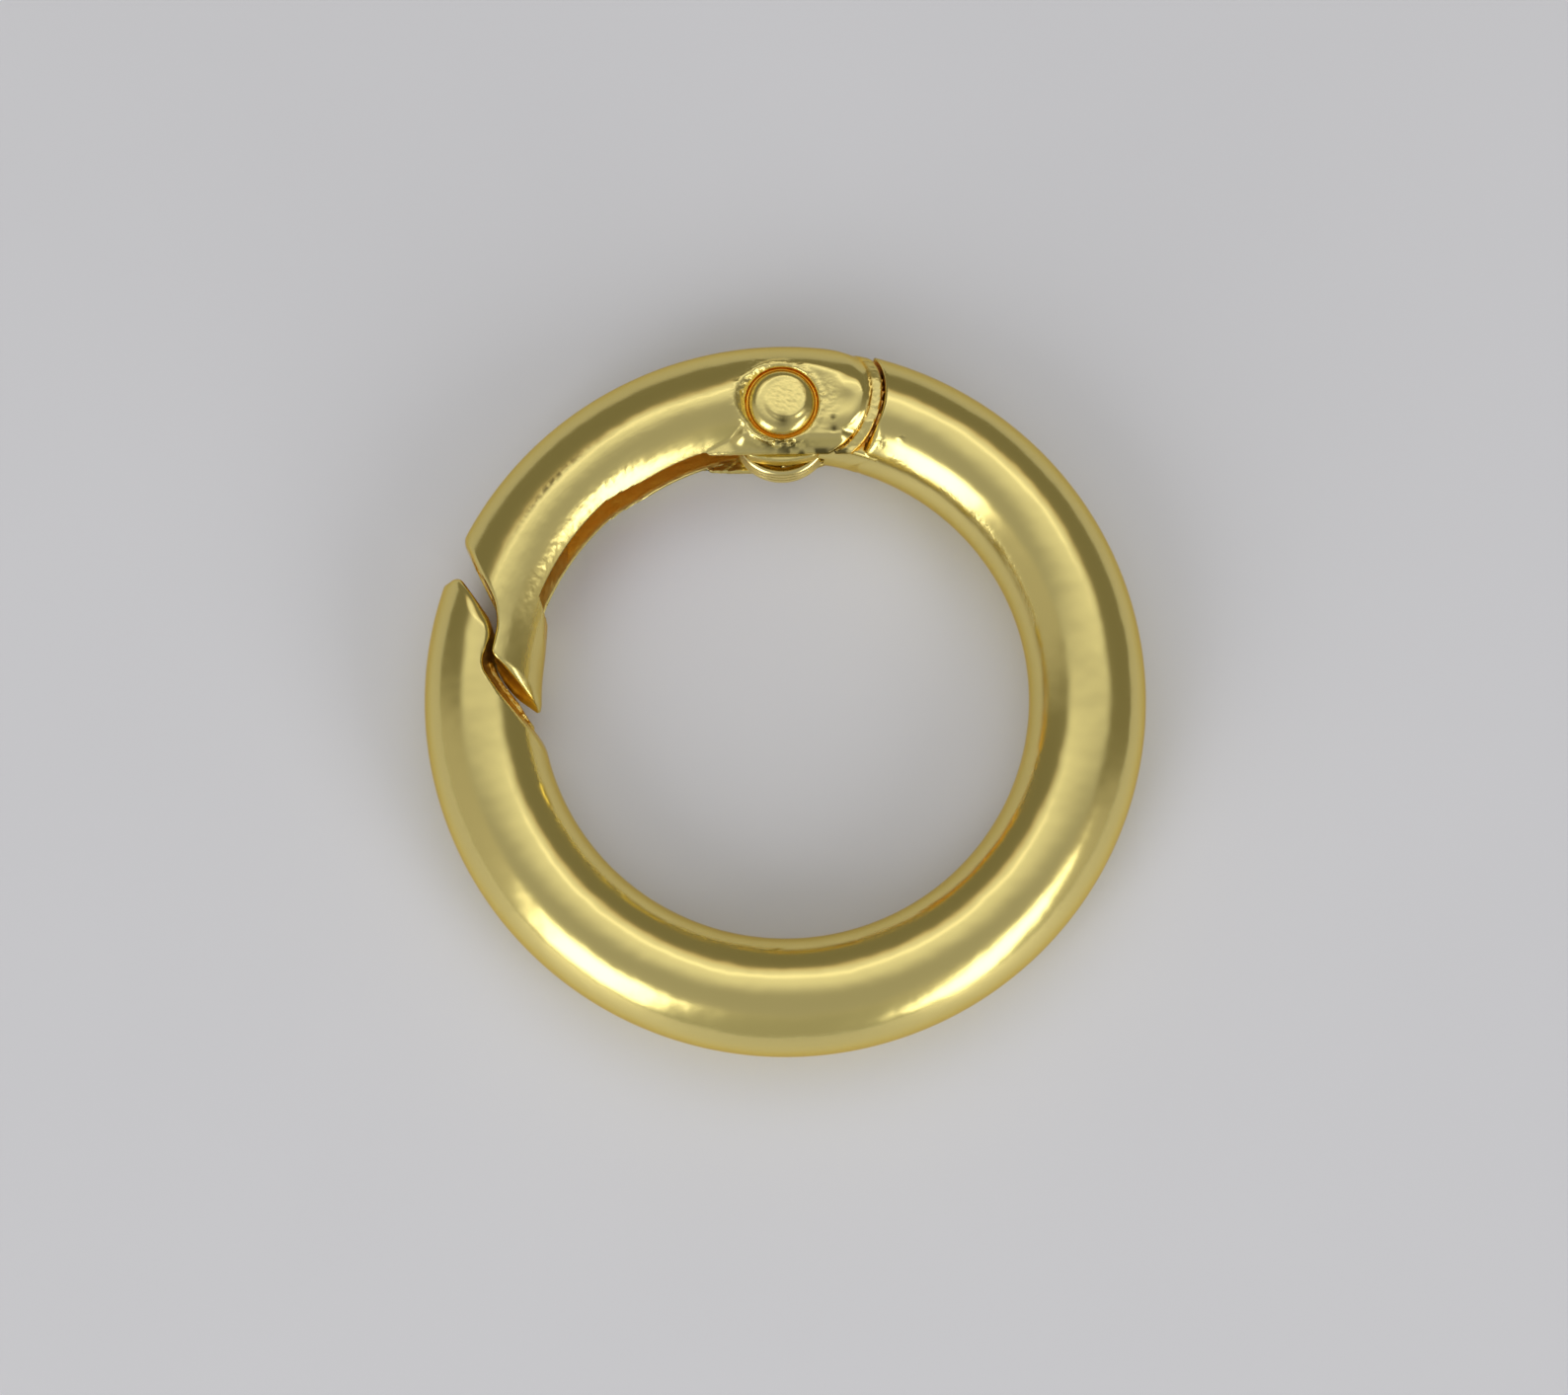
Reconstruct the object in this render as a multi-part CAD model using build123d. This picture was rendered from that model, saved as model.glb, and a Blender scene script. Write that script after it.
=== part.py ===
"""Spring gate ring: a round ring that opens at a sprung, hinged gate.

Two zinc castings follow one round bar bent to a circle. The body is the long open ring: it ends in a
flat lug at the hinge and in a hooked seat at the mouth. The gate closes the ring: it is a channel,
open to the inside of the ring, whose two cheeks straddle the lug, and its solid nose laps inside the
body's tip. A headed rivet is the hinge pin, and a wire torsion spring round it pushes the gate shut.

Origin: centre of the ring's eye at mid-thickness. +Z runs along the rivet. Lengths are in mm.
"""
from build123d import *
import math
import os

# ---------------------------------------------------------------- driving dimensions
EYE_DIAMETER = 20.0  # clear inside diameter of the closed ring
BAR_DIAMETER = 4.8  # round bar that body and gate both follow

# hinge, in a frame at the rivet: x runs along the ring towards the body, y outwards
HINGE_ANGLE = 90.7  # where the rivet stands on the ring, from +X
PIVOT_INSET = 0.45  # rivet axis inside the bar's centreline
TAIL_RADIUS = 3.35  # round tail of the gate
TAIL_CENTRE_X = 0.79  # the tail's arc is not centred on the rivet,
TAIL_CENTRE_Y = 0.54  # so the seam opens as soon as the gate turns
SEAM_GAP = 0.12  # between the tail and the body's hollow shoulder
RIM_WIDTH = 0.42  # lowered rim round the tail's end
RIM_DROP = 0.1
GROOVE_WIDTH = 0.4  # groove beside the rim
GROOVE_DROP = 0.24
SHELF_HALF_HEIGHT = 1.72  # straight inner edge of the cheeks at the hinge
SHELF_REACH = 2.09  # from the rivet axis inwards to that edge
SHELF_LENGTH = 3.95  # from the rivet axis along the gate
BOSS_RADIUS = 1.9  # raised boss round each rivet head
BOSS_LEDGE = 1.1  # inner edge of the boss beside the rim, from the rivet axis
BOSS_DROP = 0.3  # boss face below the bar's crown
BOSS_EDGE = 0.15  # rounding of its edge

# channel of the gate
CHANNEL_HALF_WIDTH = 1.4
ROOF_WALL = 0.8  # gate wall on the outside of the ring
CHANNEL_CORNER = 0.25  # rounding inside the channel
CHANNEL_END_ANGLE = 161.5  # beyond it the nose is solid
LIP_HALF_WIDTH = 1.68  # near the nose the lips are thinner
LIP_DEPTH = 2.5  # how far that runs in from the eye
LIP_START_ANGLE = 129.0
LIP_END_ANGLE = 160.5

# rivet
SHANK_DIAMETER = 2.0
HEAD_DIAMETER = 2.72
HEAD_HEIGHT = 0.52
HEAD_DOME = 0.24  # height of the domed part
HEAD_DIMPLE_DIAMETER = 1.3
HEAD_DIMPLE_DEPTH = 0.06
HEAD_DROP = 0.08  # top of the head below the bar's crown
HEAD_RECESS_GAP = 0.2  # round the head in its recess
RIVET_FIT = 0.01  # radial, in the gate's cheeks
PIVOT_FIT = 0.03  # radial running clearance in the lug

# lug of the body
LUG_THICKNESS = 0.86
CHEEK_GAP = 0.06  # between the lug or the spring and a cheek
LUG_WALL = 0.85  # round the rivet hole
BELLY_REACH = 2.32  # swell on the lug's inner side, from the rivet axis
BELLY_RADIUS = 4.0
HEEL_LENGTH = 1.75  # from the rivet axis along the gate
HEEL_CORNER = 0.6
ROOF_GAP = 0.15  # between the lug and the channel's roof
NECK_START = 1.3  # beyond it the lug fills the channel from cheek to cheek,
COIL_GAP = 0.14  # but for the room that the coil turns in

# torsion spring
WIRE_DIAMETER = 0.42
COIL_DIAMETER = 4.15  # outside
COIL_PITCH = 0.44
COIL_TURNS = 3
COIL_INSET = 0.6  # the coil hangs inwards of the rivet axis
BODY_LEG_DROOP = 10.0  # angles of the legs below the hinge's x axis
GATE_LEG_DROOP = 15.0
SOCKET_DEPTH = 1.6  # of the body's hole for its leg
LEG_GAP = 0.1  # round a leg, and at its end
LEG_BEND = 0.3  # over which the sloping coil turns into a level leg

# mouth, in a frame on the bar's centreline: depth towards the eye, then distance along the ring
NOSE_ANGLE = 170.0
TONGUE_DEPTH = 0.44  # the gate's nose steps in behind the body's tip
TONGUE_START = -1.04
TONGUE_END = 0.75
NOSE_SHOULDER_DEPTH = 1.25  # where the nose turns towards its point
TIP_GAP = 0.12  # least gap between the tip and the step
TIP_START = -2.42  # end of the body's tip
TIP_START_DEPTH = -1.62
TIP_BACK_SLOPE = 0.5
TIP_TOE = -0.45  # where the tip is deepest
NOTCH_DEPTH = 0.33  # hollow behind the tip
HOLLOW_GAP = 0.03  # from the nose's start to the end of the hollow, along the ring
SEAT_REACH = 0.44  # how far the seat's outline runs on past the bar
KNEE_DEPTH = 0.88  # where the seat turns across the bar
KNEE_RUN = 1.12
MOUTH_CORNER = 0.35  # rounding of both outlines
MOUTH_SPAN = 22.0  # angle each way from the nose that holds the whole mouth
FLANK_SLOPE = 1.33  # run along the ring for each mm across the bar
NOSE_SLOPE = 1.36
POINT_SLOPE = 0.47
SEAT_SLOPE = 0.7
HEEL_SLOPE = 1.25
NOSE_DRAFT = 0.3  # the nose draws back along the ring for each mm above the mid-plane,
SEAT_DRAFT = 0.17  # and so does the seat, the other way
NOSE_FLAT_DEPTH = 2.39  # flat on the inner side of the gate's nose
NOSE_FLAT_SLOPE = 0.176
NOSE_FLAT_START = -2.4
NOSE_FLAT_END = 3.2

# ---------------------------------------------------------------- derived sizes
bar_radius = BAR_DIAMETER / 2
ring_radius = (EYE_DIAMETER + BAR_DIAMETER) / 2
pivot_radius = ring_radius - PIVOT_INSET
roof_radius = ring_radius + bar_radius - ROOF_WALL
shoulder_radius = TAIL_RADIUS + SEAM_GAP
head_top = bar_radius - HEAD_DROP
recess_floor = head_top - HEAD_HEIGHT
recess_radius = HEAD_DIAMETER / 2 + HEAD_RECESS_GAP
boss_top = bar_radius - BOSS_DROP
lug_top = CHANNEL_HALF_WIDTH - CHEEK_GAP
lug_bottom = lug_top - LUG_THICKNESS
shank_radius = SHANK_DIAMETER / 2
wire_radius = WIRE_DIAMETER / 2
coil_radius = (COIL_DIAMETER - WIRE_DIAMETER) / 2
coil_start = -CHANNEL_HALF_WIDTH + CHEEK_GAP + wire_radius
coil_turn = COIL_TURNS + (BODY_LEG_DROOP + GATE_LEG_DROOP) / 360
coil_end = coil_start + COIL_PITCH * coil_turn
coil_slope = math.atan2(COIL_PITCH, 2 * math.pi * coil_radius)
leg_rise = LEG_BEND * math.sin(coil_slope)
reach = 1.5 * bar_radius  # how far cutting outlines run past the bar


def on_hinge(x, y):
    """Point of the mid-plane given in the hinge's frame."""
    return Vector(pivot_radius + y, -x, 0).rotate(Axis.Z, HINGE_ANGLE)


def on_mouth(depth, along):
    """Point of the mid-plane given in the mouth's frame."""
    return Vector(ring_radius - depth, along, 0).rotate(Axis.Z, NOSE_ANGLE)


def on_ring(radius, angle):
    """Point of the mid-plane in polar form."""
    return Vector(radius, 0, 0).rotate(Axis.Z, angle)


def angle_of(point):
    return math.degrees(math.atan2(point.Y, point.X)) % 360


at_hinge = Location(on_hinge(0, 0), (0, 0, HINGE_ANGLE - 90))


def slab(outline, low, high):
    """Prism over a plan outline, between two heights."""
    return extrude(Pos(0, 0, low) * outline, high - low, dir=(0, 0, 1))


def through(outline):
    """Prism over a plan outline that runs out of the bar on both faces."""
    return slab(outline, -reach, reach)


def bar(radius):
    """The whole ring as plain round bar."""
    return Torus(ring_radius, radius)


# ---------------------------------------------------------------- outlines at the mouth and hinge
def gate_mouth(height):
    """Corners of the gate's edge at a height: flank, step behind the tip, then the pointed nose."""
    drawn = NOSE_DRAFT * height
    shoulder_run = TONGUE_END + NOSE_SLOPE * (NOSE_SHOULDER_DEPTH - TONGUE_DEPTH) - drawn
    end_depth = bar_radius + reach
    end_run = shoulder_run + POINT_SLOPE * (end_depth - NOSE_SHOULDER_DEPTH)
    return [
        on_mouth(-reach, TONGUE_START - FLANK_SLOPE * (reach + TONGUE_DEPTH)),
        on_mouth(TONGUE_DEPTH, TONGUE_START),
        on_mouth(TONGUE_DEPTH - TIP_GAP / 2, TONGUE_END),
        on_mouth(NOSE_SHOULDER_DEPTH, shoulder_run),
        on_mouth(end_depth, end_run),
    ]


def body_mouth(height):
    """Corners of the body's edge at a height: tip, hollow behind it, then the seat below the nose."""
    drawn = SEAT_DRAFT * height
    tip_depth = TONGUE_DEPTH - TIP_GAP
    hollow_run = TONGUE_END + HOLLOW_GAP
    knee_run = hollow_run + KNEE_RUN
    end_depth = bar_radius + SEAT_REACH
    end_run = knee_run + SEAT_SLOPE * (end_depth - KNEE_DEPTH)
    return [
        on_mouth(-reach, TIP_START + TIP_BACK_SLOPE * (reach + TIP_START_DEPTH)),
        on_mouth(TIP_START_DEPTH, TIP_START),
        on_mouth(tip_depth, TIP_TOE),
        on_mouth(tip_depth - NOTCH_DEPTH, hollow_run + drawn),
        on_mouth(KNEE_DEPTH, knee_run + drawn),
        on_mouth(end_depth, end_run + drawn),
        on_mouth(end_depth + bar_radius, end_run + drawn + HEEL_SLOPE * bar_radius),
    ]


def past_mouth(corners_at, side):
    """All that lies past a drafted edge at the mouth; side is +1 towards the body, -1 to the gate."""
    levels = []
    for height in (0, reach):
        edge = FilletPolyline(*corners_at(height), radius=MOUTH_CORNER)
        far = [on_mouth(depth, side * 2 * reach) for depth in (bar_radius + reach, -reach)]
        closing = Polyline(edge @ 1, *far, edge @ 0)
        levels.append(Pos(0, 0, height) * make_face([edge, closing]))
    upper = loft(levels, ruled=True)
    return upper + mirror(upper, Plane.XY)


def nose_flat():
    """Plan area that the flat takes off the inner side of the gate's nose."""
    corners = []
    for along in (NOSE_FLAT_START, NOSE_FLAT_END):
        depth = NOSE_FLAT_DEPTH + NOSE_FLAT_SLOPE * along
        corners += [on_mouth(depth, along), on_mouth(ring_radius, along)]
    near_edge, near_eye, far_edge, far_eye = corners
    return make_face(Polyline(near_edge, far_edge, far_eye, near_eye, close=True))


def pie(radius, start_angle, end_angle):
    """Plan area between two radial lines, out to a radius."""
    start, end = on_ring(radius, start_angle), on_ring(radius, end_angle)
    middle = on_ring(radius, (start_angle + end_angle) / 2)
    return make_face([Line((0, 0), start), ThreePointArc(start, middle, end), Line(end, (0, 0))])


def gate_plan(tail_radius, end_angle):
    """Plan area of the gate: its round tail and all from there to an angle on the ring."""
    start_angle = angle_of(on_hinge(TAIL_CENTRE_X, TAIL_CENTRE_Y))
    return tail_plan(tail_radius) + pie(ring_radius + reach, start_angle, end_angle)


def tail_plan(radius):
    """Disc of the gate's round tail, or of the hollow shoulder that it turns in."""
    return at_hinge * Pos(TAIL_CENTRE_X, TAIL_CENTRE_Y) * Circle(radius)


def rim_plan():
    """Plan area of the lowered rim round the end of the gate's tail."""
    return tail_plan(TAIL_RADIUS) - tail_plan(TAIL_RADIUS - RIM_WIDTH)


def hinge_block(x_low, x_high, y_low, y_high):
    """Rectangle in the hinge's frame, given by its sides."""
    centre = Pos((x_low + x_high) / 2, (y_low + y_high) / 2)
    return at_hinge * centre * Rectangle(x_high - x_low, y_high - y_low)


def channel(radius, half_width, start_angle, end_angle):
    """Pocket open to the eye, with rounded corners."""
    pocket = slab(pie(radius, start_angle, end_angle), -half_width, half_width)
    inside_edges = pocket.edges().filter_by(lambda edge: edge.center().length > ring_radius / 2)
    return fillet(inside_edges, CHANNEL_CORNER)


# ---------------------------------------------------------------- pieces
def lug():
    """Flat tongue of the body that the rivet passes through."""
    neck_length = shoulder_radius + bar_radius
    eye = at_hinge * Circle(shank_radius + LUG_WALL)
    swell = at_hinge * Pos(0, BELLY_RADIUS - BELLY_REACH) * Circle(BELLY_RADIUS)
    heel = swell & hinge_block(-HEEL_LENGTH, HEEL_LENGTH, -BELLY_REACH, 0)
    heel_edge = heel.vertices().sort_by_distance(on_hinge(-HEEL_LENGTH, -BELLY_REACH))[0]
    heel = fillet(heel_edge, HEEL_CORNER)
    under_roof = Circle(roof_radius - ROOF_GAP)
    neck = hinge_block(0, neck_length, -BELLY_REACH, BELLY_REACH) & under_roof
    thick_neck = hinge_block(NECK_START, neck_length, -BELLY_REACH, BELLY_REACH) & under_roof
    coil_room = at_hinge * Pos(0, -COIL_INSET) * Circle(COIL_DIAMETER / 2 + COIL_GAP)
    necks = slab(neck, lug_bottom, lug_top) + slab(thick_neck, -lug_top, lug_bottom)
    hole = at_hinge * Cylinder(shank_radius + PIVOT_FIT, BAR_DIAMETER)
    tongue = slab(eye + heel, lug_bottom, lug_top) + (necks & bar(bar_radius))
    return tongue - slab(coil_room, -BAR_DIAMETER, lug_bottom) - hole


def leg_line(droop, side):
    """Start and direction of a spring leg in the hinge's frame; side is +1 for the body's leg."""
    turn = math.radians(90 - side * droop)
    start = Vector(coil_radius * math.cos(turn), coil_radius * math.sin(turn) - COIL_INSET, 0)
    direction = Vector(side * math.sin(turn), -side * math.cos(turn), 0)
    return start, direction


def distance_to_circle(start, direction, centre, radius):
    """How far along a line from inside a circle the line meets it."""
    offset = start - centre
    along = offset.dot(direction)
    return -along + math.sqrt(along**2 - offset.dot(offset) + radius**2)


def rod(start, direction, height, length, radius):
    """Round rod lying level in the hinge's frame."""
    path = Line(start + Vector(0, 0, height), start + direction * length + Vector(0, 0, height))
    return at_hinge * sweep(Plane(path @ 0, z_dir=direction) * Circle(radius), path)


def body_leg():
    """Start, direction and length of the leg that is held in the body."""
    start, direction = leg_line(BODY_LEG_DROOP, 1)
    tail_centre = Vector(TAIL_CENTRE_X, TAIL_CENTRE_Y, 0)
    to_shoulder = distance_to_circle(start, direction, tail_centre, shoulder_radius)
    return start, direction, to_shoulder + SOCKET_DEPTH


def gate_leg():
    """Start, direction and length of the leg that bears on the channel's roof."""
    start, direction = leg_line(GATE_LEG_DROOP, -1)
    ring_centre = Vector(0, -pivot_radius, 0)
    contact = roof_radius - wire_radius - LEG_GAP
    return start, direction, distance_to_circle(start, direction, ring_centre, contact)


def ring_body():
    """Long open casting: bar, hollow shoulder, lug, hooked tip and seat."""
    start, direction, length = body_leg()
    socket = rod(start, direction, coil_start - leg_rise, length + LEG_GAP, wire_radius + LEG_GAP)
    casting = bar(bar_radius) - through(gate_plan(shoulder_radius, NOSE_ANGLE - MOUTH_SPAN))
    return casting - past_mouth(body_mouth, -1) + lug() - socket


def hinge_bosses():
    """Straight shelf along the cheeks' inner edge, rim and all, and the raised boss round each head."""
    inside_tail = tail_plan(TAIL_RADIUS - RIM_WIDTH - GROOVE_WIDTH)
    shelf = hinge_block(-SHELF_LENGTH, TAIL_CENTRE_X + TAIL_RADIUS, -SHELF_REACH, 0)
    shelf &= inside_tail + rim_plan() + hinge_block(-SHELF_LENGTH, 0, -SHELF_REACH, 0)
    boss = at_hinge * Circle(BOSS_RADIUS) + (hinge_block(0, TAIL_RADIUS, -BOSS_LEDGE, 0) & inside_tail)
    boss_slab = slab(boss, -boss_top, boss_top)
    boss_slab = fillet(boss_slab.faces().filter_by(Axis.Z).edges(), BOSS_EDGE)
    return slab(shelf, -SHELF_HALF_HEIGHT, SHELF_HALF_HEIGHT) + boss_slab


def gate():
    """Channel casting with two cheeks, a round tail and a solid pointed nose."""
    inner_tail = TAIL_RADIUS - RIM_WIDTH - GROOVE_WIDTH
    casting = bar(bar_radius) & through(gate_plan(inner_tail, NOSE_ANGLE + MOUTH_SPAN))
    casting += bar(bar_radius - RIM_DROP) & through(rim_plan())
    casting += bar(bar_radius - GROOVE_DROP) & through(tail_plan(TAIL_RADIUS))
    casting += hinge_bosses()
    casting -= past_mouth(gate_mouth, 1)
    casting -= through(nose_flat())
    casting -= channel(roof_radius, CHANNEL_HALF_WIDTH, HINGE_ANGLE - 60, CHANNEL_END_ANGLE)
    casting -= channel(EYE_DIAMETER / 2 + LIP_DEPTH, LIP_HALF_WIDTH, LIP_START_ANGLE, LIP_END_ANGLE)
    casting -= at_hinge * Cylinder(shank_radius + RIVET_FIT, BAR_DIAMETER)
    recess = Cylinder(recess_radius, reach, align=(Align.CENTER, Align.CENTER, Align.MIN))
    recess = Pos(0, 0, recess_floor) * recess
    return casting - at_hinge * (recess + mirror(recess, Plane.XY))


def rivet():
    """Hinge pin, headed alike at both ends: a low dome with a pressed dimple."""
    head_radius = HEAD_DIAMETER / 2
    dimple_radius = HEAD_DIMPLE_DIAMETER / 2
    dome_start = head_top - HEAD_DOME
    under = Vector(shank_radius, recess_floor)
    brim = Vector(head_radius, recess_floor)
    edge = Vector(head_radius, dome_start)
    crown = Vector(dimple_radius, head_top)
    pit = Vector(0, head_top - HEAD_DIMPLE_DEPTH)
    half = [
        Polyline((0, 0), (shank_radius, 0), under, brim, edge),
        TangentArc(crown, edge, tangent=(1, 0)),
        Line(crown, pit),
        Line(pit, (0, 0)),
    ]
    profile = Plane.XZ * make_face(half)
    top = revolve(profile, Axis.Z)
    return at_hinge * (top + mirror(top, Plane.XY))


def torsion_spring():
    """Close-wound coil; one leg in the body's socket, the other along the channel's roof."""
    coil = Helix(COIL_PITCH, COIL_PITCH * coil_turn, coil_radius)
    path = [Pos(0, -COIL_INSET, coil_start) * Rot(0, 0, 90 - BODY_LEG_DROOP) * coil]
    legs = ((body_leg(), coil_start, -leg_rise), (gate_leg(), coil_end, leg_rise))
    for (start, direction, length), height, rise in legs:
        corner = start + direction * LEG_BEND * math.cos(coil_slope) + Vector(0, 0, height + rise)
        bend_end = corner + direction * LEG_BEND
        leg_end = start + direction * length + Vector(0, 0, height + rise)
        path.append(Bezier(start + Vector(0, 0, height), corner, bend_end))
        path.append(Line(bend_end, leg_end))
    path = Wire(path)
    return at_hinge * sweep(Plane(path @ 0, z_dir=path % 0) * Circle(wire_radius), path)


pieces = {
    "ring_body": ring_body(),
    "gate": gate(),
    "pivot_rivet": rivet(),
    "torsion_spring": torsion_spring(),
}
os.makedirs("parts", exist_ok=True)
for name, piece in pieces.items():
    piece.label = name
    export_step(piece, f"parts/{name}.step")
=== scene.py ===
"""Looks of the spring gate ring: plated castings, rivet and spring on a pale table.

Lengths in the shaping functions are in millimetres, in the object's own frame, and a mesh is brought
to metres when it is made. A casting is described by a signed distance: negative in the metal, positive
outside, zero on its surface. Cuts and joins of such distances leave rounded edges.

Two flat frames serve the details. In the hinge's frame, with its zero at the rivet, hx runs along the
ring towards the body and hy outwards. In the mouth's frame, with its zero on the bar's centreline,
depth runs towards the eye, and along runs along the ring from the gate to the body.
"""

import math

import bmesh
import bpy
import numpy as np
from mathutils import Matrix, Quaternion, Vector


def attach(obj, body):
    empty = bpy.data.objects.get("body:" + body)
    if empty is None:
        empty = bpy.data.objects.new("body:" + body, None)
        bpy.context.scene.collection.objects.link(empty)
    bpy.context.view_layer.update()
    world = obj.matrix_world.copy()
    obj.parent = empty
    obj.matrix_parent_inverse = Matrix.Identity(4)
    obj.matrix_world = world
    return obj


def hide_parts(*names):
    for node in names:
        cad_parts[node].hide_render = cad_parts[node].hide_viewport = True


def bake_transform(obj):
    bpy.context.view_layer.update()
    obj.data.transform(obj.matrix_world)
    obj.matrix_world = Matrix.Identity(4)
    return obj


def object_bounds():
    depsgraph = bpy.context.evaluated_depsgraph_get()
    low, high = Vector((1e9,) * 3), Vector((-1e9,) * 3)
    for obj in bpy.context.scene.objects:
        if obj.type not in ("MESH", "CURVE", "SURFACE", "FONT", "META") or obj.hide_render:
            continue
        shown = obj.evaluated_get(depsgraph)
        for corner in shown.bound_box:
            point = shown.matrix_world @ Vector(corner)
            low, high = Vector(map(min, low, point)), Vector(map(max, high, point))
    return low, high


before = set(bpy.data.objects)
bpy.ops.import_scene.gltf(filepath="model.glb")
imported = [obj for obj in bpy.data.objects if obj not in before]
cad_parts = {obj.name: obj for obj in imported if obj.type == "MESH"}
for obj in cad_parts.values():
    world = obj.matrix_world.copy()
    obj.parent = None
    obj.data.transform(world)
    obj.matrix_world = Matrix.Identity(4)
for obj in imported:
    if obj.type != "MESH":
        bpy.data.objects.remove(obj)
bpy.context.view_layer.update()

MM = 0.001

# ---------------------------------------------------------------- sizes of the part
RING_RADIUS = 12.4
BAR_RADIUS = 2.4
HINGE_ANGLE = math.radians(90.7)
PIVOT_RADIUS = RING_RADIUS - 0.45
HUB = PIVOT_RADIUS * math.cos(HINGE_ANGLE), PIVOT_RADIUS * math.sin(HINGE_ANGLE)
MOUTH_ANGLE = math.radians(170.0)

# gate's tail and the faces beside the rivet, in the hinge's frame
TAIL_CENTRE = (0.79, 0.54)
TAIL_RADIUS = 3.35
TAIL_ANGLE = HINGE_ANGLE - math.atan2(TAIL_CENTRE[0], PIVOT_RADIUS + TAIL_CENTRE[1])
TAIL_SIDE = 0.8  # groove, rim and seam lie beyond this hx
GROOVE_DEPTH = 0.25
RIM_WIDTH = 0.44
RIM_THICKNESS = 0.42
UPPER_CHEEK_INSET, LOWER_CHEEK_INSET = 0.5, 0.85  # from the tail's arc
RECESS_RADIUS = 1.56
RECESS_FLOOR = 1.8
BURR_RADIUS, BURR_REACH = 1.68, 1.85
FACE_HEIGHT, FACE_RADIUS, FACE_SLOPE = 2.06, 1.85, 0.2
CHAMFER_SLOPE = 0.85
BOSS_RADIUS, BOSS_DROP, BOSS_SIDE, BOSS_LEDGE = 1.8, 0.1, 0.4, 1.15
PAD, PAD_HEIGHT = (2.68, 0.6), 0.07
PATCH = (1.95, 0.25)
PITS = ((2.12, -1.14), (2.1, -0.7))
DENT, DENT_HEIGHT, DENT_RADIUS = (0.1, -1.78), 2.02, 0.2
SHELF_HALF_HEIGHT = 1.72
SHELF_REACH = 2.09
SHELF_LENGTH = 3.95

# gate's channel, in the object's frame, and the thinner lips along it
CHANNEL_HALF_WIDTH = 1.4
ROOF_RADIUS = 14.0
CHANNEL_END = math.radians(161.5)
LIP_CUT = 0.28
LIP_RADIUS = 12.5
LIP_START, LIP_FULL, LIP_END = math.radians(121.0), math.radians(135.0), math.radians(160.5)

# mouth, as (depth, along): the gate's edge from the outside to the eye, then the body's
FLANK_FAR, FLANK_FOOT, STEP_TOP = (-3.6, -6.41), (0.44, -1.04), (0.38, 0.75)
NOSE_SHOULDER, NOSE_RUN, NOSE_SLOPE, NOSE_DRAFT = (1.25, 1.852), 3.55, 0.47, 0.24
NOSE_FLAT = ((1.968, -2.4), (2.953, 3.2))
BEVEL_START, BEVEL_SLOPE, BEVEL_FADE = 0.13, 0.43, 0.35
TIP_BACK, TIP_POINT, TIP_HOOK = (-3.6, -1.43), (-1.62, -2.42), (0.32, -0.45)
SEAT = ((0.06, 0.80), (0.88, 1.90), (2.84, 3.272), (5.24, 6.272))
SEAT_DRAFT = 0.17
WEB_WIDTH, WEB_NARROWING, WEB_HALF_HEIGHT = 0.3, 0.16, 0.2
WEB_START, WEB_DEPTH, WEB_INSET = 0.7, 2.5, 0.3

# body's seam, lug, neck and slot for the spring's leg, in the hinge's frame
SEAM_GAP = 0.12
LUG_LOW, LUG_HIGH = 0.48, 1.34
LUG_EYE_RADIUS = 1.85
BELLY_REACH = 2.32
BELLY_RADIUS = 4.0
HEEL_LENGTH = 1.75
NECK_START, NECK_END = 1.3, 5.0
NECK_RADIUS = 13.85
COIL_INSET = 0.6
COIL_ROOM = 2.215
SLOT_POINT, SLOT_SLANT = (0.324, 1.237), (0.174, 0.985)
SLOT_START, SLOT_END = 0.3, 5.9
SLOT_HEIGHT, SLOT_RADIUS = -1.141, 0.31
BURNT_SPOTS = (((4.0, -1.7), 0.2), ((4.9, -1.6), 0.15))  # centre and width

# marks at degrees round the bar's section and round the ring
STROKE_SECTION, STROKE_TURN = 80, 138
PARTING_SECTION = 138
BRUSHED_TURN = -85

# rivet
SHANK_RADIUS = 1.0
PLAY_IN_GATE, PLAY_IN_LUG = 0.01, 0.03  # round the shank
HEAD_RADIUS = 1.39
HEAD_TOP = 2.32
FLAT_RADIUS = 0.7  # level middle of the head
HEAD_TILT = math.radians(60)  # slope of the head at its edge
HEAD_ROUND = 0.03
PRESSED_CENTRE = (0.17, 0.1)
LOW_BURR = (0.05, -0.85)

# spring
WIRE_RADIUS = 0.21
COIL_RADIUS = 1.865
COIL_PITCH = 0.44
COIL_TURNS = 3 + 25 / 360
COIL_START = math.radians(80)
COIL_FLOOR_GAP = 0.06
BODY_LEG, GATE_LEG = 5.28, 7.88
LEG_BEND = 0.25  # length over which the coil runs out into a leg
LEG_STEP = 0.011
WIRE_SIDES = 24

# lattice that finds a casting's surface
GATE_CELL = 0.085
BODY_CELL = 0.092
PLAIN_STEP = math.radians(1.1)
GATE_SPAN = np.radians((61, 187))
MOUTH_SPAN, HINGE_SPAN = np.radians((-203, -164)), np.radians((57, 103))
RING_SPAN = (9.2, 15.0)
HEIGHT_SPAN = (-2.6, 2.6)
FAR = 9.0  # a distance well outside the metal

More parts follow.
